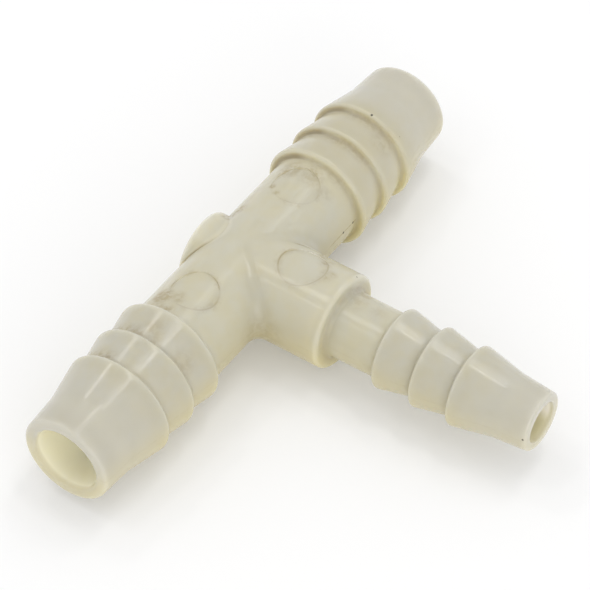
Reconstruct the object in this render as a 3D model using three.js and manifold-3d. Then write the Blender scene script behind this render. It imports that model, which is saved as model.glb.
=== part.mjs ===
// Barbed reducing tee for garden and drip irrigation hose: one injection moulding in natural
// plastic, a 1/2 inch hose run with a 3/8 inch hose branch square to it.
// Millimetres, +Z up. The run lies along X and the branch points to -Y.
// Origin: bottom centre of the bounding box, so the tee lies on z = 0.
import * as THREE from "three";
import { mergeVertices } from "three/addons/utils/BufferGeometryUtils.js";
import Module from "manifold-3d";

// ---- run: the straight-through limb -------------------------------------------------
const RUN_HALF = 37.0;          // crossing of the axes to either run end
const PIPE_R = 6.35;            // plain pipe between the barbs, and the thick start of the branch
const RUN_BORE_R = 4.4;
const RUN_STEPS = [15.9, 20.95, 26.0];   // step faces of the three barbs, all facing the middle
const RUN_CREST_R = 7.45;
const RUN_ROOT_R = 6.62;        // foot of each barb's cone
const RUN_KNEE = [31.9, 6.32];  // where the nose cone turns into the slim tip (x, radius)
const RUN_TIP_R = 6.05;
const RUN_RIM = 0.45;           // rounding on the outer rim of a run end
const RUN_MOUTH = 0.5;          // rounding on the mouth of the run bore

// ---- branch -------------------------------------------------------------------------
const BRANCH_LENGTH = 43.5;     // crossing of the axes to the branch end
const SHOULDER = 15.0;          // where the thick part stops in a flat ring
const SHOULDER_RIM = 0.4;
const BRANCH_BORE_R = 2.7;
const BRANCH_PIPE_R = 4.37;
const BRANCH_STEPS = [22.3, 27.6, 32.9];
const BRANCH_CREST_R = 5.35;
const BRANCH_ROOT_R = 4.4;
const BRANCH_KNEE = [38.6, 4.28];
const BRANCH_TIP_R = 3.92;
const BRANCH_RIM = 0.45;
const BRANCH_MOUTH = 0.2;

// ---- features of the middle ---------------------------------------------------------
const CREST_ROUND = 0.28;       // rounding on every barb crest
const CROTCH_R = 1.8;           // fillet in the two inside corners, widest on the parting plane
const BOSS_R = 5.5;             // flat round pad behind the run, on the branch axis
const BOSS_FACE = 6.4;          // its flat face, measured from the run axis
const PIN_R = 3.1;              // ejector pin marks on the top
const PIN_DEPTH = 0.1;
const PIN_OFFSET = 0.35;        // the three marks sit this far to the right of the middle
const PIN_ALONG_RUN = 10.9;
const PIN_ALONG_BRANCH = 8.6;

const SEGMENTS = 48;            // facets round every cylinder, the same everywhere
const CENTRE_Y = (BRANCH_LENGTH - RUN_CREST_R) / 2;   // axis crossing in the part's frame
const CENTRE_Z = RUN_CREST_R;

const plastic = new THREE.MeshStandardMaterial({
  name: "natural_plastic", color: 0xe6e3cf, roughness: 0.4, metalness: 0.0,
});

// Points of an arc about (cx, cr) from angle a0 to a1, in degrees; 0 points along the limb.
function arc(cx, cr, radius, a0, a1, steps) {
  const points = [];
  for (let i = 0; i <= steps; i++) {
    const t = THREE.MathUtils.degToRad(a0 + ((a1 - a0) * i) / steps);
    points.push([cx + radius * Math.cos(t), cr + radius * Math.sin(t)]);
  }
  return points;
}

// One hose barb: foot of the step, up its flat face, round the crest.
function barb(step, footR, crestR) {
  const c = CREST_ROUND;
  return [[step, footR], ...arc(step + c, crestR - c, c, 180, 90, 3)];
}

// Closed half-section of a barbed limb as (distance along the limb, radius) pairs.
function spigotSection({ start, startR, steps, rootR, crestR, knee, end, tipR, rim, boreR, mouth }) {
  const outline = [];
  if (start < steps[0]) outline.push([start, startR]);
  steps.forEach((step, i) => {
    const foot = i === 0 ? startR : rootR;
    const points = barb(step, foot, crestR);
    outline.push(...(start === step ? points.slice(1) : points));
  });
  outline.push(knee);
  outline.push(...arc(end - rim, tipR - rim, rim, 90, 0, 3));
  outline.push(...arc(end - mouth, boreR + mouth, mouth, 0, -90, 2));
  outline.push([start, boreR]);
  return outline;
}

// Turns a closed half-section about the limb's axis; the axis is +Y until it is placed.
function turned(section) {
  const points = section.map(([along, radius]) => new THREE.Vector2(radius, along));
  points.push(points[0].clone());
  return new THREE.LatheGeometry(points, SEGMENTS);
}

// Places geometry that was made along +Y: "left" and "right" are the run's ends.
const LIMB_TURN = {
  left: new THREE.Matrix4().makeRotationZ(Math.PI / 2),
  right: new THREE.Matrix4().makeRotationZ(-Math.PI / 2),
  branch: new THREE.Matrix4().makeRotationZ(Math.PI),
};

// The fillet in one inside corner. Run and branch share a radius, so at every height the two
// outlines cross at (w, -w); the arc that joins them fades out towards the top and bottom.
function crotchFillet(side) {
  const arcSteps = 5;
  const levels = SEGMENTS / 4 - 1;
  const positions = [];
  const indices = [];
  for (let level = -levels; level <= levels; level++) {
    const phi = (level * 2 * Math.PI) / SEGMENTS;
    const w = PIPE_R * Math.cos(phi);
    const z = PIPE_R * Math.sin(phi);
    const rho = CROTCH_R * Math.sqrt(Math.cos(phi));
    positions.push(side * 0.3 * w, -0.3 * w, z);
    for (let i = 0; i <= arcSteps; i++) {
      const t = Math.PI - (i * Math.PI) / 2 / arcSteps;
      positions.push(side * (w + rho + rho * Math.cos(t)), -w - rho + rho * Math.sin(t), z);
    }
  }
  const ring = arcSteps + 2;
  const face = (a, b, c) => indices.push(...(side > 0 ? [a, c, b] : [a, b, c]));
  for (let level = 0; level < 2 * levels; level++) {
    for (let i = 0; i < ring; i++) {
      const a = level * ring + i;
      const b = level * ring + ((i + 1) % ring);
      face(a, a + ring, b);
      face(b, a + ring, b + ring);
    }
  }
  const last = 2 * levels * ring;
  for (let i = 1; i < ring - 1; i++) {
    face(0, i, i + 1);
    face(last, last + i + 1, last + i);
  }
  return { positions: new Float32Array(positions), indices: new Uint32Array(indices) };
}

async function centreBody() {
  const wasm = await Module();
  wasm.setup();
  const { Manifold, Mesh } = wasm;
  const closed = (positions, indices) =>
    new Manifold(new Mesh({ numProp: 3, vertProperties: positions, triVerts: indices }));

  // A cylinder or cone, along +Y until it is turned and moved, as a solid that can be cut and joined.
  const solid = (geometry) => {
    geometry.deleteAttribute("normal");
    geometry.deleteAttribute("uv");
    const merged = mergeVertices(geometry);
    return closed(merged.attributes.position.array, Uint32Array.from(merged.index.array));
  };
  const rod = (radius, length) => new THREE.CylinderGeometry(radius, radius, length, SEGMENTS);
  const alongRun = (radius, from, to) =>
    solid(rod(radius, to - from).rotateZ(Math.PI / 2).translate((from + to) / 2, 0, 0));
  const alongBranch = (radius, from, to) => solid(rod(radius, to - from).translate(0, -(from + to) / 2, 0));

  let body = alongRun(PIPE_R, -RUN_STEPS[0], RUN_STEPS[0]);
  body = body.add(alongBranch(PIPE_R, 0, SHOULDER - SHOULDER_RIM));
  const neckEnd = new THREE.CylinderGeometry(PIPE_R, PIPE_R - SHOULDER_RIM, SHOULDER_RIM, SEGMENTS);
  body = body.add(solid(neckEnd.translate(0, SHOULDER_RIM / 2 - SHOULDER, 0)));
  body = body.add(alongBranch(BOSS_R, -BOSS_FACE, 0));
  for (const side of [-1, 1]) {
    const { positions, indices } = crotchFillet(side);
    body = body.add(closed(positions, indices));
  }

  const pin = (x, y) => solid(rod(PIN_R, 2 * PIPE_R).rotateX(Math.PI / 2).translate(x, y, PIPE_R));
  const runCore = alongRun(PIPE_R - PIN_DEPTH, -RUN_STEPS[0], RUN_STEPS[0]);
  const branchCore = alongBranch(PIPE_R - PIN_DEPTH, 0, SHOULDER);
  const runPins = pin(PIN_OFFSET - PIN_ALONG_RUN, 0).add(pin(PIN_OFFSET + PIN_ALONG_RUN, 0));
  body = body.subtract(runPins.subtract(runCore));
  body = body.subtract(pin(PIN_OFFSET, -PIN_ALONG_BRANCH).subtract(branchCore));

  body = body.subtract(alongRun(RUN_BORE_R, -RUN_HALF, RUN_HALF));
  body = body.subtract(alongBranch(BRANCH_BORE_R, 0, BRANCH_LENGTH));

  const mesh = body.getMesh();
  const geometry = new THREE.BufferGeometry();
  geometry.setAttribute("position", new THREE.BufferAttribute(Float32Array.from(mesh.vertProperties), 3));
  geometry.setIndex(new THREE.BufferAttribute(Uint32Array.from(mesh.triVerts), 1));
  return geometry;
}

const runLimb = {
  start: RUN_STEPS[0], startR: PIPE_R, steps: RUN_STEPS, rootR: RUN_ROOT_R, crestR: RUN_CREST_R,
  knee: RUN_KNEE, end: RUN_HALF, tipR: RUN_TIP_R, rim: RUN_RIM, boreR: RUN_BORE_R, mouth: RUN_MOUTH,
};
const branchLimb = {
  start: SHOULDER, startR: BRANCH_PIPE_R, steps: BRANCH_STEPS, rootR: BRANCH_ROOT_R,
  crestR: BRANCH_CREST_R, knee: BRANCH_KNEE, end: BRANCH_LENGTH, tipR: BRANCH_TIP_R,
  rim: BRANCH_RIM, boreR: BRANCH_BORE_R, mouth: BRANCH_MOUTH,
};

const tee = new THREE.Group();
tee.name = "barbed_tee_connector";

function addPiece(name, geometry) {
  geometry.translate(0, CENTRE_Y, CENTRE_Z);
  geometry.computeVertexNormals();
  const mesh = new THREE.Mesh(geometry, plastic);
  mesh.name = name;
  tee.add(mesh);
}

addPiece("centre_body", await centreBody());
addPiece("run_spigot_left", turned(spigotSection(runLimb)).applyMatrix4(LIMB_TURN.left));
addPiece("run_spigot_right", turned(spigotSection(runLimb)).applyMatrix4(LIMB_TURN.right));
addPiece("branch_spigot", turned(spigotSection(branchLimb)).applyMatrix4(LIMB_TURN.branch));

export default tee;
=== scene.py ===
import math

import bmesh
import bpy
from mathutils import Matrix, Vector


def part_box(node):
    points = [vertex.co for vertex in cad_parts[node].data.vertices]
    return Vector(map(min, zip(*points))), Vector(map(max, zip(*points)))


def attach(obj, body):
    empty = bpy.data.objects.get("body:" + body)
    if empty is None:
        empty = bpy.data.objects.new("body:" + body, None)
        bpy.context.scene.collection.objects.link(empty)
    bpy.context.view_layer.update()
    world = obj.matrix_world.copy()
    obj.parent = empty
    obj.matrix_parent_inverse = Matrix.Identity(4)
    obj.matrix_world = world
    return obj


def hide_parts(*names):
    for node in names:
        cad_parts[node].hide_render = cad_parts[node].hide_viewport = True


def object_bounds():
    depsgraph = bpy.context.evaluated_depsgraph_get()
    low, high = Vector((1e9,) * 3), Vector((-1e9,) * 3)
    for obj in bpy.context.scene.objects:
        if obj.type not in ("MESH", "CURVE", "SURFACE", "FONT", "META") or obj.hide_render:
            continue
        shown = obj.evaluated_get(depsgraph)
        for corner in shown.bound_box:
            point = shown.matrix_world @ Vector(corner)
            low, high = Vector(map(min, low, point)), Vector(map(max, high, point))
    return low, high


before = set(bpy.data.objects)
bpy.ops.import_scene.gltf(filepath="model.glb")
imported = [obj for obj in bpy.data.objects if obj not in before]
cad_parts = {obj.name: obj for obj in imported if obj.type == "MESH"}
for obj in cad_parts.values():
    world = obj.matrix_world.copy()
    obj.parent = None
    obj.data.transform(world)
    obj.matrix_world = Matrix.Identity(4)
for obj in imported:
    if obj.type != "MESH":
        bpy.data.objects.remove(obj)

cad_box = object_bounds()
MM = 0.001

# ---- sizes, in millimetres: the part's own, with softer edges ----------------------------
RUN_HALF = 37.0          # crossing of the axes to either run end
PIPE_R = 6.35            # plain pipe between the barbs, and the thick start of the branch
RUN_BORE_R = 4.4
RUN_STEPS = [15.9, 20.95, 26.0]   # step faces of the barbs, all facing the middle
RUN_CREST_R, RUN_ROOT_R = 7.45, 6.62
RUN_KNEE = (31.9, 6.32)  # where the nose cone turns into the slim tip: distance, radius
RUN_TIP_R, RUN_RIM, RUN_MOUTH = 6.05, 0.45, 0.5
BRANCH_LENGTH = 43.5
SHOULDER, SHOULDER_RIM, SHOULDER_FOOT = 15.0, 0.5, 0.7
BRANCH_BORE_R = 2.7
BRANCH_PIPE_R, BRANCH_CREST_R, BRANCH_ROOT_R = 4.37, 5.35, 4.4
BRANCH_STEPS = [22.3, 27.6, 32.9]
BRANCH_KNEE = (38.6, 4.28)
BRANCH_TIP_R, BRANCH_RIM, BRANCH_MOUTH = 3.92, 0.45, 0.2
CREST_ROUND, FOOT_ROUND = 0.4, 0.42
CROTCH_R = 1.8           # fillet in the two inside corners, widest on the parting plane
BOSS_R, BOSS_FACE, BOSS_ROUND = 5.5, 6.4, 0.18   # round pad behind the run
BOSS_START = 1.5         # the pad's tool starts this far from the run's axis
PIN_R, PIN_DEPTH, PIN_OFFSET = 3.1, 0.1, 0.35    # ejector pin marks on the top
PINS = [(PIN_OFFSET - 10.9, 0.0), (PIN_OFFSET + 10.9, 0.0), (PIN_OFFSET, -8.6)]
CUT_PAST = 0.5           # how far the bores' tools stick out of the ends
CORE_REACH = 20.0        # half length of the tool that shapes the floor of a pin mark
LIMB_PITCH = 0.42        # spacing of the skin's rings along a limb
LEAD_IN = 0.5            # the run limbs' skin starts this far before their first step

# ---- camera: the photograph's viewing angle ----------------------------------------------
CAMERA_TURN = 55.58      # degrees round from the front towards the left
CAMERA_RISE = 47.3       # degrees above level
CAMERA_PLACE = (-208.12, -150.25, 273.94)   # from the crossing of the axes, in millimetres
CAMERA_LENS = 183.05

# ---- colours -----------------------------------------------------------------------------
BODY_WARM = (0.553, 0.526, 0.415, 1)
BODY_COOL = (0.55, 0.531, 0.44, 1)
BODY_NOSE = (0.548, 0.53, 0.45, 1)
# BODY_DEEP is the plastic's deeper yellow; it also paints the shade of the lower sides.
BODY_DEEP = (0.56, 0.50, 0.30, 1)
# Painted shade and painted light: factors on the body's colour, by where a point is on the moulding.
THICK_SHADE = (0.93, 0.93, 0.95, 1)
TIP = (0.91, 0.91, 0.93, 1)
CREST = (0.94, 0.94, 0.94, 1)
FOOT = (1.06, 1.06, 1.06, 1)
CORNER = (1.2, 1.2, 1.2, 1)
# Painted light inside the bores, lighter than the body; the branch bore gets less of it low down.
BORE_NEAR = (0.84, 0.79, 0.625, 1)
BORE_DEEP = (0.97, 0.95, 0.82, 1)
BRANCH_BORE = (0.78, 0.73, 0.65, 1)
BRANCH_BORE_LOW = (0.56, 0.53, 0.40, 1)
# On top of the plastic, or in it. The dirt colour also paints the shade of one smear.
DIRT_AND_SHADE = (0.30, 0.225, 0.10, 1)
SPECK = (0.012, 0.009, 0.007, 1)

# ---- the plastic's surface and depth -----------------------------------------------------
ROUGHNESS = (0.16, 0.22)
DIRT_ROUGHNESS = 0.04    # added where the surface is dirty and where the corner shade is painted
SHINE = 0.34
BUMP_DEPTH, BUMP_STRENGTH = 0.04, 0.12   # the depth is in millimetres
SCATTER_DEPTH = 4.5      # millimetres
SCATTER_COLOURS = (1.0, 0.96, 0.82)      # how deep red, green and blue light go, as factors

# ---- marks of use, in millimetres from the axis crossing ---------------------------------
# How far the soft grime under each right-hand barb goes, 0 to 1.
FOOT_SMUDGES = [0.25, 0.45, 0.45]
# Grime in front of each left-hand barb's step: step, lowest y, highest y, amount.
RUBS = [(15.9, 0.4, 3.6, 0.85), (20.95, 1.2, 5.2, 0.75), (26.0, 1.8, 5.0, 0.75)]
# Smears where the fitting was handled and hoses rubbed, the last one painted shade in the left inside
# corner: centre, radius, softness, amount.
SMEARS_AND_SHADE = [
    ((-13.2, 2.9, 5.7), 0.8, 1.2, 0.95), ((-12.6, 0.9, 6.3), 0.3, 1.2, 0.6),
    ((-18.9, -0.2, 7.0), 0.4, 1.6, 0.45), ((-20.4, -0.8, 6.8), 0.4, 1.5, 0.4),
    ((-19.8, -5.0, 4.6), 0.3, 2.2, 0.4), ((0.6, -12.1, 6.3), 0.3, 1.2, 0.75),
    ((2.7, -10.4, 5.7), 0.3, 1.2, 0.7), ((3.9, -9.4, 5.0), 0.3, 1.0, 0.8),
    ((0.6, -16.6, 4.3), 0.4, 1.6, 0.45), ((2.6, -16.2, 3.4), 0.3, 1.8, 0.7),
    ((0.2, -19.5, 4.4), 0.3, 1.6, 0.3), ((13.4, 2.4, 6.0), 0.9, 1.5, 0.6),
    ((13.9, -0.8, 6.3), 0.8, 1.8, 0.45), ((12.6, -3.4, 5.4), 0.3, 1.6, 0.4),
    ((9.75, 2.5, 5.8), 0.1, 0.6, 0.9), ((8.8, 1.3, 6.2), 0.1, 0.7, 0.7),
    ((24.6, -4.4, 5.2), 0.6, 2.2, 0.45), ((3.3, 4.6, 4.5), 0.5, 0.9, 1.0),
    # The last smear is painted shade: a soft brown darkening low in the left inside corner.
    ((4.9, 4.1, 4.85), 0.4, 1.0, 1.0), ((-6.5, -6.9, -1.0), 0.8, 4.0, 0.4),
]
# Small black specks in the plastic: centre, radius, softness.
SPECKS = [
    ((26.3, -1.54, 7.25), 0.1, 0.12), ((12.73, -6.37, 0.0), 0.13, 0.1),
    ((14.9, -6.35, 0.0), 0.11, 0.1), ((-3.95, -43.1, 0.35), 0.09, 0.12),
    ((2.95, -14.75, 5.45), 0.06, 0.1), ((27.0, -5.35, 4.9), 0.04, 0.1),
]
# Soft halo of grime round each ejector pin mark, in the order of PINS, 0 to 1.
HALOS = [0.4, 0.85, 0.3]
# Small dirty ring beside the left pin mark.
PIP, PIP_R = (-13.3, 2.5), 0.45

# The crossing of the two axes, taken from the CAD boxes.
branch_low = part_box("branch_spigot")[0]
CROSSING = Vector((
    (cad_box[0][0] + cad_box[1][0]) / 2,
    branch_low.y + BRANCH_LENGTH * MM,
    (cad_box[0][2] + cad_box[1][2]) / 2,
))


# ---- camera ------------------------------------------------------------------------------
def add_camera():
    azimuth, elevation = math.radians(-CAMERA_TURN), math.radians(CAMERA_RISE)
    back = Vector((math.sin(azimuth) * math.cos(elevation),
                   -math.cos(azimuth) * math.cos(elevation), math.sin(elevation)))
    right = Vector((math.cos(azimuth), math.sin(azimuth), 0.0))
    up = back.cross(right)
    data = bpy.data.cameras.new("camera")
    data.lens = CAMERA_LENS
    data.clip_start = 0.01
    camera = bpy.data.objects.new("camera", data)
    place = Matrix((right, up, back)).transposed().to_4x4()
    place.translation = CROSSING + Vector(CAMERA_PLACE) * MM
    camera.matrix_world = place
    bpy.context.scene.collection.objects.link(camera)
    bpy.context.scene.camera = camera


# ---- outline of a barbed limb ------------------------------------------------------------
def arc(cx, cr, radius, a0, a1, steps):
    """Points of an arc about (cx, cr) from angle a0 to a1, in degrees; 0 points along the limb."""
    out = []
    for i in range(steps + 1):
        t = math.radians(a0 + (a1 - a0) * i / steps)
        out.append((cx + radius * math.cos(t), cr + radius * math.sin(t)))
    return out


def stretch(a, b, pitch):
    """Points between a and b, without either end, about pitch apart."""
    n = max(1, round(math.dist(a, b) / pitch))
    return [(a[0] + (b[0] - a[0]) * i / n, a[1] + (b[1] - a[1]) * i / n) for i in range(1, n)]


def limb_outline(start, start_r, steps, root_r, crest_r, knee, end, tip_r, rim):
    """Outer line of a limb as (distance, radius), from the middle to the start of the end ring.

    Each barb is a flat step that faces the middle, a rounded crest and a cone down to the next."""
    keys = [(start, start_r)]
    feet = [start_r] + [root_r] * (len(steps) - 1)
    for step, foot in zip(steps, feet):
        keys += arc(step - FOOT_ROUND, foot + FOOT_ROUND, FOOT_ROUND, -90, 0, 4)
        keys += arc(step + CREST_ROUND, crest_r - CREST_ROUND, CREST_ROUND, 180, 84, 8)
    keys += [knee]
    keys += arc(end - rim, tip_r - rim, rim, 86, 0, 8)
    out = [keys[0]]
    for a, b in zip(keys, keys[1:]):
        if math.dist(a, b) > 1e-6:
            out += stretch(a, b, LIMB_PITCH) + [b]
    return out


# ---- places of outline points: a along the limb's axis, c and s across it ----------------
def along_run(a, c, s):
    return (a, c, s)


def along_run_left(a, c, s):
    return (-a, c, s)


def along_branch(a, c, s):
    return (c, -a, s)


# ---- the moulding's skin -----------------------------------------------------------------
def angles():
    """Half a turn of angles from the bottom generator to the top one, closer at the parting line."""
    cells = 84
    even = [math.radians(-90 + 180 * i / cells) for i in range(cells + 1)]
    fine = [math.radians(a) for a in (-1.3, -0.85, -0.5, -0.25, 0.25, 0.5, 0.85, 1.3)]
    return sorted(even + fine)


PHI = angles()


def skin():
    """Closed outer skin round the axis crossing, in millimetres, as a bmesh."""
    bm = bmesh.new()

    def grid(rows, flip):
        made = [[bm.verts.new(p) for p in row] for row in rows]
        for ra, rb in zip(made, made[1:]):
            for i in range(len(ra) - 1):
                quad = [ra[i], ra[i + 1], rb[i + 1], rb[i]]
                bm.faces.new(quad[::-1] if flip else quad)
        return made

    def straight(a, b, n):
        return [a + (b - a) * i / n for i in range(n + 1)]

    start, neck = RUN_STEPS[0] - LEAD_IN, SHOULDER - SHOULDER_RIM
    run_cells, arc_cells, neck_cells = 22, 12, 20
    # Front half of the middle: along the run, round the inside corner, along the branch.
    for side in (-1, 1):
        rows = []
        for phi in PHI:
            w = PIPE_R * math.cos(phi)
            z = PIPE_R * math.sin(phi)
            rho = CROTCH_R * math.sqrt(max(0.0, math.cos(phi)))
            row = [(side * x, -w, z) for x in straight(start, w + rho, run_cells)]
            for i in range(1, arc_cells + 1):
                t = math.radians(90 + 90 * i / arc_cells)
                row.append((side * (w + rho + rho * math.cos(t)), -w - rho + rho * math.sin(t), z))
            row += [(side * w, -y, z) for y in straight(w + rho, neck, neck_cells)[1:]]
            rows.append(row)
        grid(rows, side < 0)
    # Back half of the middle.
    rows = []
    for phi in PHI:
        y, z = PIPE_R * math.cos(phi), PIPE_R * math.sin(phi)
        top = straight(-start, 0, run_cells) + straight(0, start, run_cells)[1:]
        rows.append([(x, y, z) for x in top])
    grid(rows, True)

    def limb(outline, place, flip):
        full = PHI[:-1] + [math.pi - p for p in reversed(PHI[1:])]
        full.append(full[0] + 2 * math.pi)
        rows = [[place(along, r * math.cos(t), r * math.sin(t)) for t in full] for along, r in outline]
        made = grid(rows, flip)
        bm.faces.new(made[-1][:-1] if flip else made[-1][:-1][::-1])

    run = limb_outline(start, PIPE_R, RUN_STEPS, RUN_ROOT_R, RUN_CREST_R, RUN_KNEE,
                       RUN_HALF, RUN_TIP_R, RUN_RIM)
    limb(run, along_run, True)
    limb(run, along_run_left, False)
    neck_line = [(neck, PIPE_R)] + arc(neck, PIPE_R - SHOULDER_RIM, SHOULDER_RIM, 90, 0, 6)[1:]
    neck_line += stretch(neck_line[-1], (SHOULDER, BRANCH_PIPE_R + SHOULDER_FOOT), 0.4)
    foot = SHOULDER + SHOULDER_FOOT
    neck_line += arc(foot, BRANCH_PIPE_R + SHOULDER_FOOT, SHOULDER_FOOT, 180, 270, 8)
    branch = limb_outline(foot, BRANCH_PIPE_R, BRANCH_STEPS, BRANCH_ROOT_R, BRANCH_CREST_R,
                          BRANCH_KNEE, BRANCH_LENGTH, BRANCH_TIP_R, BRANCH_RIM)
    limb(neck_line + branch[1:], along_branch, False)
    bmesh.ops.remove_doubles(bm, verts=bm.verts, dist=1e-4)
    bmesh.ops.recalc_face_normals(bm, faces=bm.faces)
    return bm


def to_object(bm, name):
    mesh = bpy.data.meshes.new(name)
    bm.to_mesh(mesh)
    bm.free()
    obj = bpy.data.objects.new(name, mesh)
    bpy.context.scene.collection.objects.link(obj)
    return obj


def turned(name, outline, place, cells=128):
    """A closed solid turned from an outline that runs from axis to axis."""
    bm = bmesh.new()
    rows = []
    for along, r in outline:
        if r < 1e-9:
            rows.append([bm.verts.new(place(along, 0.0, 0.0))])
        else:
            rows.append([bm.verts.new(place(along, r * math.cos(2 * math.pi * i / cells),
                                            r * math.sin(2 * math.pi * i / cells)))
                         for i in range(cells)])
    for ra, rb in zip(rows, rows[1:]):
        for i in range(cells):
            j = (i + 1) % cells
            corners = [ra[i % len(ra)], ra[j % len(ra)], rb[j % len(rb)], rb[i % len(rb)]]
            bm.faces.new(list(dict.fromkeys(corners)))
    bmesh.ops.recalc_face_normals(bm, faces=bm.faces)
    return to_object(bm, name)


def combine(target, tool, operation):
    """Joins the tool to the target or cuts it out, and removes the tool."""
    mod = target.modifiers.new(operation, "BOOLEAN")
    mod.operation = operation
    mod.object = tool
    mod.solver = "MANIFOLD"
    depsgraph = bpy.context.evaluated_depsgraph_get()
    mesh = bpy.data.meshes.new_from_object(target.evaluated_get(depsgraph))
    target.modifiers.clear()
    old = target.data
    target.data = mesh
    bpy.data.meshes.remove(old)
    bpy.data.objects.remove(tool)


def dense(outline, pitch):
    """The same outline with points about pitch apart on its straight stretches."""
    out = [outline[0]]
    for a, b in zip(outline, outline[1:]):
        out += stretch(a, b, pitch) + [b]
    return out


def add_pad(tee):
    """The round pad behind the run, on the branch's axis."""
    edge = arc(BOSS_ROUND - BOSS_FACE, BOSS_R - BOSS_ROUND, BOSS_ROUND, 180, 90, 5)
    outline = dense([(-BOSS_FACE, 0.0), (-BOSS_FACE, BOSS_R - BOSS_ROUND)], 0.8) + edge[1:]
    outline += dense([edge[-1], (-BOSS_START, BOSS_R), (-BOSS_START, 0.0)], 0.5)[1:]
    combine(tee, turned("boss", outline, along_branch), "UNION")


def cut_pin_marks(tee):
    """Shallow round marks. Their floors keep the curve of the pipe they are in."""
    upright = [(0.0, 0.0), (0.0, PIN_R), (2 * PIPE_R, PIN_R), (2 * PIPE_R, 0.0)]
    floor_r = PIPE_R - PIN_DEPTH
    lying = [(-CORE_REACH, 0.0), (-CORE_REACH, floor_r), (CORE_REACH, floor_r), (CORE_REACH, 0.0)]
    for x, y in PINS:
        tool = turned("pin", dense(upright, 0.5), lambda a, c, s: (x + c, y + s, a), 96)
        limb = along_run if y == 0 else along_branch
        combine(tool, turned("core", dense(lying, 0.5), limb, 192), "DIFFERENCE")
        combine(tee, tool, "DIFFERENCE")


def bore_outline(length, radius, mouth, pitch, steps):
    """From the crossing out past the limb's end, with the rounding of the mouth."""
    out = dense([(0.0, radius), (length - mouth, radius)], pitch)
    out += arc(length - mouth, radius + mouth, mouth, -90, -10, steps)[1:]
    return out + [(length + CUT_PAST, radius + 1.2 * mouth)]


def capped(outline):
    """The outline with both ends brought in to the axis."""
    return [(outline[0][0], 0.0)] + outline + [(outline[-1][0], 0.0)]


def cut_bores(tee):
    half = bore_outline(RUN_HALF, RUN_BORE_R, RUN_MOUTH, 1.0, 6)
    whole = [(-a, r) for a, r in reversed(half)] + half[1:]
    combine(tee, turned("bore", capped(whole), along_run), "DIFFERENCE")
    half = bore_outline(BRANCH_LENGTH, BRANCH_BORE_R, BRANCH_MOUTH, 0.9, 5)
    combine(tee, turned("bore", capped(half), along_branch, 96), "DIFFERENCE")


def moulding():
    tee = to_object(skin(), "tee_moulding")
    add_pad(tee)
    cut_pin_marks(tee)
    cut_bores(tee)
    return tee


def finish_mesh(tee):
    mesh = tee.data
    mesh.transform(Matrix.Translation(CROSSING) @ Matrix.Scale(MM, 4))
    mesh.materials.clear()
    mesh.polygons.foreach_set("material_index", [0] * len(mesh.polygons))
    mesh.polygons.foreach_set("use_smooth", [True] * len(mesh.polygons))
    mesh.set_sharp_from_angle(angle=math.radians(28))
    mesh.update()


# ---- material ----------------------------------------------------------------------------
class Painter:
    """Short calls for the shader's arithmetic. Numbers and sockets mix freely."""

    def __init__(self, tree):
        self.tree = tree

    def node(self, kind, *values, out=0, **settings):
        node = self.tree.nodes.new(kind)
        for key, value in settings.items():
            setattr(node, key, value)
        for socket, value in zip(node.inputs, values):
            self.put(socket, value)
        return node.outputs[out]

    def put(self, socket, value):
        if isinstance(value, bpy.types.NodeSocket):
            self.tree.links.new(value, socket)
        elif value is not None:
            socket.default_value = value

    def math(self, operation, *values):
        return self.node("ShaderNodeMath", *values, operation=operation)

    def add(self, a, b):
        return self.math("ADD", a, b)

    def mul(self, *values):
        total = values[0]
        for value in values[1:]:
            total = self.math("MULTIPLY", total, value)
        return total

    def most(self, *values):
        top = values[0]
        for value in values[1:]:
            top = self.math("MAXIMUM", top, value)
        return top

    def fade(self, value, low, high, start=0.0, end=1.0):
        """start below low, end above high, smooth between them."""
        return self.node("ShaderNodeMapRange", value, low, high, start, end,
                         interpolation_type="SMOOTHSTEP")

    def band(self, value, low, high, soft):
        """1 from low to high, fading out over soft beyond each."""
        return self.mul(self.fade(value, low - soft, low), self.fade(value, high, high + soft, 1.0, 0.0))

    def off(self, value, target):
        return self.math("ABSOLUTE", self.math("SUBTRACT", value, target))

    def length(self, *parts):
        total = self.mul(parts[0], parts[0])
        for part in parts[1:]:
            total = self.add(total, self.mul(part, part))
        return self.math("SQRT", total)

    def noise(self, where, scale, detail=2.0, rough=0.5):
        node = self.tree.nodes.new("ShaderNodeTexNoise")
        self.tree.links.new(where, node.inputs["Vector"])
        node.inputs["Scale"].default_value = scale
        node.inputs["Detail"].default_value = detail
        node.inputs["Roughness"].default_value = rough
        return node.outputs["Fac"]

    def spot(self, point, centre, radius, soft):
        """1 inside a ball about centre, fading out over soft beyond its radius."""
        away = self.node("ShaderNodeVectorMath", point, centre, operation="DISTANCE", out=1)
        return self.fade(away, radius, radius + soft, 1.0, 0.0)

    def tint(self, a, b):
        node = self.tree.nodes.new("ShaderNodeMix")
        node.data_type, node.blend_type = "RGBA", "MULTIPLY"
        node.inputs[0].default_value = 1.0
        self.put(node.inputs[6], a)
        self.put(node.inputs[7], b)
        return node.outputs[2]

    def blend(self, fac, a, b):
        node = self.tree.nodes.new("ShaderNodeMix")
        node.data_type = "RGBA"
        self.put(node.inputs[0], fac)
        self.put(node.inputs[6], a)
        self.put(node.inputs[7], b)
        return node.outputs[2]


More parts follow.
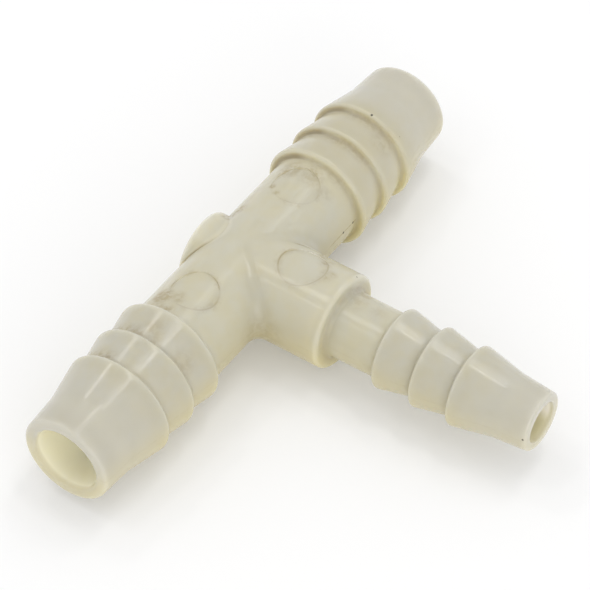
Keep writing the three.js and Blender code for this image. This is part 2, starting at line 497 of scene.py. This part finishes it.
def foot_grime(p, x, y, run_r, patchy):
    """Under the right-hand barbs: a thin dark line behind the top, a broad soft smudge before it."""
    line = p.fade(y, 1.0, 3.2, 0.0, 0.8)
    smudge = p.mul(p.band(y, -3.4, 0.4, 2.4), p.add(0.35, p.mul(patchy, 0.65)))
    parts = []
    for step, root, much in zip(RUN_STEPS, [PIPE_R, RUN_ROOT_R, RUN_ROOT_R], FOOT_SMUDGES):
        low = p.fade(run_r, root + 0.4, root + 0.9, 1.0, 0.0)
        parts.append(p.mul(p.band(x, step - 0.15, step + 0.05, 0.3), low, line))
        near = p.mul(p.fade(x, step - 2.0, step - 0.5), p.fade(x, step, step + 0.3, 1.0, 0.0))
        parts.append(p.mul(near, low, smudge, much))
    return p.most(*parts)


def rub_grime(p, x, y, above, patchy):
    """Just before the steps of the left-hand barbs, on the side away from the branch."""
    parts = []
    for step, low, high, much in RUBS:
        near = p.mul(p.fade(x, 0.6 - step, 2.2 - step, 1.0, 0.0), p.fade(x, -step - 0.05, 0.02 - step))
        parts.append(p.mul(near, p.band(y, low, high, 1.2), much))
    return p.mul(p.most(*parts), above, p.add(0.25, p.mul(patchy, 0.75)))


def branch_grime(p, x, out_y, branch_r, patchy):
    """The corners on the branch and at its shoulder are only slightly dirty."""
    feet = []
    for step in BRANCH_STEPS:
        near = p.mul(p.fade(out_y, step - 0.4, step - 0.05),
                     p.fade(out_y, step + 0.05, step + 0.3, 1.0, 0.0))
        low = p.fade(branch_r, BRANCH_ROOT_R + 0.3, BRANCH_ROOT_R + 0.8, 1.0, 0.0)
        feet.append(p.mul(near, low, 0.3))
    near = p.mul(p.fade(out_y, SHOULDER - 0.1, SHOULDER + 0.05),
                 p.fade(out_y, SHOULDER + 0.3, SHOULDER + 1.3, 1.0, 0.0))
    shoulder = p.mul(near, p.fade(branch_r, BRANCH_PIPE_R + 0.3, BRANCH_PIPE_R + 1.3, 1.0, 0.0),
                     p.fade(x, -2.0, 3.0, 0.1, 0.6))
    return p.mul(p.most(shoulder, *feet), p.add(0.35, p.mul(patchy, 0.5)))


def ring_grime(p, x, y, above, coarse, patchy):
    """Thin outline of each ejector pin mark, worn away in places, with a soft halo here and there."""
    worn = p.fade(coarse, 0.4, 0.57, 0.12, 0.75)
    rings = []
    for (px, py), halo in zip(PINS, HALOS):
        off = p.off(p.length(p.math("SUBTRACT", x, px), p.math("SUBTRACT", y, py)), PIN_R)
        rings.append(p.mul(p.fade(off, 0.03, 0.24, 1.0, 0.0), worn, 0.9))
        rings.append(p.mul(p.fade(off, 0.1, 0.85, halo, 0.0), p.fade(coarse, 0.42, 0.58), patchy))
    pip = p.off(p.length(p.math("SUBTRACT", x, PIP[0]), p.math("SUBTRACT", y, PIP[1])), PIP_R)
    rings.append(p.fade(pip, 0.05, 0.25, 0.9, 0.0))
    return p.mul(p.most(*rings), above)


def seam_grime(p, x, y, z, run_r, branch_r, patchy, broken):
    """Lines: the crack at the pad behind, the parting line and the inside corner to the right."""
    crack = p.mul(p.fade(p.off(branch_r, BOSS_R), 0.05, 0.3, 1.0, 0.0),
                  p.fade(p.off(run_r, PIPE_R), 0.05, 0.3, 1.0, 0.0),
                  p.fade(y, 1.5, 2.5), p.fade(x, -4.0, -1.0, 0.9, 0.1))
    seam = p.math("ABSOLUTE", z)
    parting = p.mul(p.fade(seam, 0.04, 0.14, 1.0, 0.0), p.fade(y, -5.9, -5.6, 1.0, 0.0),
                    p.fade(x, 8.8, 11.0), p.fade(x, 15.3, 15.9, 1.0, 0.0),
                    p.fade(run_r, 6.0, 6.2), p.add(0.55, p.mul(broken, 0.45)))
    faint = p.mul(p.fade(seam, 0.03, 0.2, 1.0, 0.0), patchy, 0.15)
    valley = p.mul(p.fade(p.off(p.add(x, y), -1.6), 0.1, 0.6, 1.0, 0.0), p.band(x, 4.0, 5.8, 0.6),
                   p.fade(z, 1.5, 3.0), p.add(0.35, p.mul(broken, 0.5)))
    return p.most(crack, parting, faint, valley)


def grime_and_shade(p, point, x, y, z):
    """How dirty each point is, 0 to 1, with painted shade where the last smear lies. All lengths are
    millimetres from the axis crossing.
    """
    coarse = p.noise(point, 0.28, 2.0)
    patchy = p.fade(p.noise(point, 1.5, 4.0, 0.6), 0.36, 0.62)
    broken = p.fade(p.noise(point, 3.0, 2.0), 0.38, 0.56)
    speckled = p.fade(p.noise(point, 1.2, 3.0, 0.6), 0.36, 0.62, 0.3, 1.0)
    run_r, branch_r = p.length(y, z), p.length(x, z)
    above = p.fade(z, 3.0, 4.0)
    smears_and_shade = [p.mul(p.spot(point, centre, r, soft), much) for centre, r, soft, much in SMEARS_AND_SHADE]
    outside = p.mul(p.fade(run_r, RUN_BORE_R + 0.2, RUN_BORE_R + 0.6),
                    p.fade(branch_r, BRANCH_BORE_R + 0.2, BRANCH_BORE_R + 0.5))
    return p.mul(outside, p.most(
        foot_grime(p, x, y, run_r, patchy),
        rub_grime(p, x, y, above, patchy),
        branch_grime(p, x, p.mul(y, -1.0), branch_r, patchy),
        ring_grime(p, x, y, above, coarse, patchy),
        seam_grime(p, x, y, z, run_r, branch_r, patchy, broken),
        p.mul(p.most(*smears_and_shade), speckled),
    ))


def cloudy(p, point):
    """The plain plastic, cloudy where it flowed and a little yellower in patches."""
    cloud = p.noise(point, 0.12, 3.0, 0.55)
    mottle = p.noise(point, 0.45, 2.0, 0.5)
    body = p.blend(p.fade(cloud, 0.35, 0.65), BODY_WARM, BODY_COOL)
    return p.blend(p.fade(mottle, 0.35, 0.7, 0.0, 0.25), body, BODY_DEEP)


def pooled_light(p, body, x, y, run_r, branch_r, rim):
    """Painted light in the corners under the barbs, at the shoulder and at the pad, and painted shade on
    the crests and rims.
    """
    crests, feet = [rim], []
    along, out_y = p.math("ABSOLUTE", x), p.mul(y, -1.0)
    for distance, steps in ((along, RUN_STEPS), (out_y, BRANCH_STEPS)):
        for step in steps:
            crests.append(p.mul(p.fade(distance, step - 0.4, step - 0.2),
                                p.fade(distance, step + 0.5, step + 2.8, 1.0, 0.0)))
            feet.append(p.mul(p.fade(distance, step - 2.4, step - 0.6),
                              p.fade(distance, step - 0.4, step - 0.2, 1.0, 0.0)))
    shoulder = p.mul(p.band(out_y, SHOULDER, SHOULDER + 0.4, 0.3),
                     p.fade(branch_r, BRANCH_PIPE_R + 0.5, BRANCH_PIPE_R + 1.2, 1.0, 0.0))
    pad = p.mul(p.fade(p.off(branch_r, BOSS_R), 0.1, 0.5, 1.0, 0.0),
                p.fade(p.off(run_r, PIPE_R), 0.1, 0.5, 1.0, 0.0), p.fade(y, 1.5, 2.5))
    corners = [shoulder, pad]
    for step in RUN_STEPS:
        corners.append(p.mul(p.band(x, step - 0.2, step + 0.2, 0.2), p.fade(y, 0.5, 3.0, 1.0, 0.0),
                             p.fade(run_r, RUN_CREST_R - 0.4, RUN_CREST_R - 0.1, 1.0, 0.0)))
    body = p.blend(p.most(*crests), body, p.tint(body, CREST))
    body = p.blend(p.most(*feet), body, p.tint(body, FOOT))
    return p.blend(p.mul(p.most(*corners), 0.7), body, p.tint(body, CORNER))


def bored(p, body, y, z, along, out_y, run_r, branch_r):
    """The colours inside the two bores over the body's: painted light, brightest deep in the run bore
    and towards the top of the branch bore.
    """
    in_run = p.mul(p.fade(run_r, RUN_BORE_R + 0.1, RUN_BORE_R + 0.6, 1.0, 0.0),
                   p.fade(along, RUN_HALF - 0.8, RUN_HALF - 0.1, 1.0, 0.0))
    in_branch = p.mul(p.fade(branch_r, BRANCH_BORE_R + 0.05, BRANCH_BORE_R + 0.3, 1.0, 0.0),
                      p.fade(y, PIPE_R - 2.0, PIPE_R - 1.5, 1.0, 0.0),
                      p.fade(out_y, BRANCH_LENGTH - 0.8, BRANCH_LENGTH - 0.3, 1.0, 0.0))
    run_bore = p.blend(p.fade(along, RUN_HALF - 9.0, RUN_HALF - 2.0), BORE_DEEP, BORE_NEAR)
    branch_bore = p.blend(p.fade(z, -2.2, -0.6), BRANCH_BORE_LOW, BRANCH_BORE)
    return p.blend(in_branch, p.blend(in_run, body, run_bore), branch_bore)


def body_colour(p, point, x, y, z):
    """The plastic's colour without dirt: milky, with painted shade on the barbs, ends and lower sides
    and painted light in the corners and bores.
    """
    along, out_y = p.math("ABSOLUTE", x), p.mul(y, -1.0)
    run_r, branch_r = p.length(y, z), p.length(x, z)
    body = cloudy(p, point)
    # The thin noses look cooler, and the right-hand barbs are a little yellower.
    nose = p.most(p.fade(along, 25.0, 32.0), p.fade(out_y, 33.0, 39.0))
    body = p.blend(p.mul(nose, 0.8), body, BODY_NOSE)
    body = p.blend(p.mul(p.band(x, 16.0, 26.0, 4.0), 0.28), body, BODY_DEEP)
    # Painted shade: the barbs and the back are a little darker than the plain pipes, the ends and the
    # shoulder's rim darker again.
    thick_shade = p.most(p.fade(along, 15.6, 16.2), p.fade(out_y, 22.0, 22.6), p.fade(y, 5.0, 6.3))
    body = p.blend(thick_shade, body, p.tint(body, THICK_SHADE))
    rim = p.mul(p.band(out_y, SHOULDER - 0.6, SHOULDER, 0.8), 0.5)
    tip_shade = p.most(p.fade(along, 33.0, 36.5), p.fade(out_y, 39.5, 43.0), rim)
    body = p.blend(tip_shade, body, p.tint(body, TIP))
    body = pooled_light(p, body, x, y, run_r, branch_r, rim)
    # Painted shade: the lower sides are blended towards the deeper yellow, more so towards the bottom.
    painted_low_shade = p.mul(p.fade(z, -2.5, 3.5, 1.0, 0.0), p.fade(nose, 0.0, 1.0, 0.95, 0.6),
                      p.fade(out_y, SHOULDER, SHOULDER + 1.0, 1.0, 0.7))
    body = p.blend(painted_low_shade, body, BODY_DEEP)
    return bored(p, body, y, z, along, out_y, run_r, branch_r)


def millimetres(p):
    """The shaded point in millimetres from the crossing of the axes."""
    coordinates = p.tree.nodes.new("ShaderNodeTexCoord").outputs["Object"]
    shifted = p.node("ShaderNodeVectorMath", coordinates, tuple(-c for c in CROSSING), operation="ADD")
    scaled = p.tree.nodes.new("ShaderNodeVectorMath")
    scaled.operation = "SCALE"
    p.put(scaled.inputs[0], shifted)
    scaled.inputs["Scale"].default_value = 1 / MM
    return scaled.outputs[0]


def plastic():
    mat = bpy.data.materials.new("natural_plastic")
    mat.use_nodes = True
    tree = mat.node_tree
    tree.nodes.clear()
    p = Painter(tree)
    out = tree.nodes.new("ShaderNodeOutputMaterial")
    bsdf = tree.nodes.new("ShaderNodeBsdfPrincipled")
    tree.links.new(bsdf.outputs["BSDF"], out.inputs["Surface"])

    point = millimetres(p)
    split = tree.nodes.new("ShaderNodeSeparateXYZ")
    p.put(split.inputs[0], point)
    x, y, z = split.outputs

    dirt_and_shade = grime_and_shade(p, point, x, y, z)
    # Dirt, and the painted shade of the corner smear, over the body's colour.
    colour = p.blend(p.mul(dirt_and_shade, 0.6), body_colour(p, point, x, y, z), DIRT_AND_SHADE)
    specks = p.most(*[p.spot(point, centre, r, soft) for centre, r, soft in SPECKS])
    p.put(bsdf.inputs["Base Color"], p.blend(p.mul(specks, 0.9), colour, SPECK))

    wear = p.noise(point, 0.5, 2.0, 0.5)
    rough = p.add(p.fade(wear, 0.3, 0.7, *ROUGHNESS), p.mul(dirt_and_shade, DIRT_ROUGHNESS))
    p.put(bsdf.inputs["Roughness"], rough)

    bump = tree.nodes.new("ShaderNodeBump")
    bump.inputs["Strength"].default_value = BUMP_STRENGTH
    bump.inputs["Distance"].default_value = BUMP_DEPTH * MM
    p.put(bump.inputs["Height"], p.add(wear, p.mul(p.noise(point, 1.5, 1.0), 0.4)))
    p.put(bsdf.inputs["Normal"], bump.outputs["Normal"])

    bsdf.inputs["IOR"].default_value = 1.5
    bsdf.inputs["Specular IOR Level"].default_value = SHINE
    bsdf.inputs["Subsurface Weight"].default_value = 1.0
    bsdf.inputs["Subsurface Radius"].default_value = SCATTER_COLOURS
    bsdf.inputs["Subsurface Scale"].default_value = SCATTER_DEPTH * MM
    return mat


# ---- room --------------------------------------------------------------------------------
FLOOR_HALF = 3.0         # metres
FLOOR_TONE = (0.76, 0.76, 0.76, 1)
FLOOR_GLOW = 0.165       # a little light of the floor's own, which keeps its shadow weak
TENT_GLOW = 0.88
WHITE = (1, 1, 1, 1)
# Soft boxes: direction from the tee, direction of the first side, distance and size in metres,
# radiance.
SOFT_BOXES = {
    "nose_low": ((0.12, -0.22, 0.97), (0.0, 1.0, 0.0), 0.7, (0.06, 0.05), 14.0),
    "nose_tip": ((0.36, -0.04, 0.93), (0.0, 1.0, 0.0), 0.7, (0.06, 0.05), 8.0),
    "nose_high": ((0.19, 0.53, 0.83), (1.0, 0.0, 0.0), 0.7, (0.10, 0.045), 14.0),
    "barbs": ((0.20, -0.13, 0.97), (0.0, 1.0, 0.0), 0.7, (0.13, 0.04), 8.0),
    "branch": ((0.455, 0.0, 0.89), (1.0, 0.0, 0.0), 0.7, (0.065, 0.05), 13.0),
    "branch_nose": ((0.22, -0.06, 0.97), (1.0, 0.0, 0.0), 0.7, (0.07, 0.055), 8.0),
    "hub": ((0.57, -0.07, 0.82), (0.0, 1.0, 0.0), 0.7, (0.08, 0.06), 3.0),
    "neck_broad": ((-0.13, 0.335, 0.93), (1.0, 0.0, 0.0), 0.7, (0.14, 0.04), 9.0),
    "neck_thin": ((-0.50, 0.355, 0.79), (0.0, 1.0, 0.0), 0.7, (0.05, 0.03), 10.0),
    "pad": ((-0.14, 0.415, 0.90), (1.0, 0.0, 0.0), 0.7, (0.05, 0.03), 8.0),
    "front": ((-0.62, -0.74, 0.27), (0.77, -0.64, 0.0), 1.5, (1.2, 0.7), 1.8),
}


def add_stage():
    bm = bmesh.new()
    bmesh.ops.create_grid(bm, x_segments=1, y_segments=1, size=FLOOR_HALF)
    floor = to_object(bm, "floor")
    mat = bpy.data.materials.new("floor")
    mat.use_nodes = True
    bsdf = mat.node_tree.nodes["Principled BSDF"]
    bsdf.inputs["Base Color"].default_value = FLOOR_TONE
    bsdf.inputs["Emission Color"].default_value = WHITE
    bsdf.inputs["Emission Strength"].default_value = FLOOR_GLOW
    bsdf.inputs["Roughness"].default_value = 0.9
    bsdf.inputs["Specular IOR Level"].default_value = 0.1
    floor.data.materials.append(mat)


def add_soft_box(name, direction, along, distance, size, radiance):
    """A rectangular light that faces the tee."""
    data = bpy.data.lights.new(name, "AREA")
    data.shape = "RECTANGLE"
    data.size, data.size_y = size
    data.energy = radiance * math.pi * size[0] * size[1]
    light = bpy.data.objects.new(name, data)
    back = Vector(direction).normalized()
    across = back.cross(Vector(along)).normalized()
    place = Matrix((across.cross(back), across, back)).transposed().to_4x4()
    place.translation = CROSSING + back * distance
    light.matrix_world = place
    bpy.context.scene.collection.objects.link(light)


def add_lighting():
    """A pale tent, with small soft boxes where the plastic shows a glint."""
    world = bpy.data.worlds.new("world")
    world.use_nodes = True
    background = world.node_tree.nodes["Background"]
    background.inputs["Color"].default_value = WHITE
    background.inputs["Strength"].default_value = TENT_GLOW
    bpy.context.scene.world = world
    for name, settings in SOFT_BOXES.items():
        add_soft_box(name, *settings)
    bpy.context.scene.view_settings.view_transform = "Standard"


add_camera()
tee = moulding()
finish_mesh(tee)
tee.data.materials.append(plastic())
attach(tee, "root")
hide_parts("centre_body", "run_spigot_left", "run_spigot_right", "branch_spigot")
add_stage()
add_lighting()
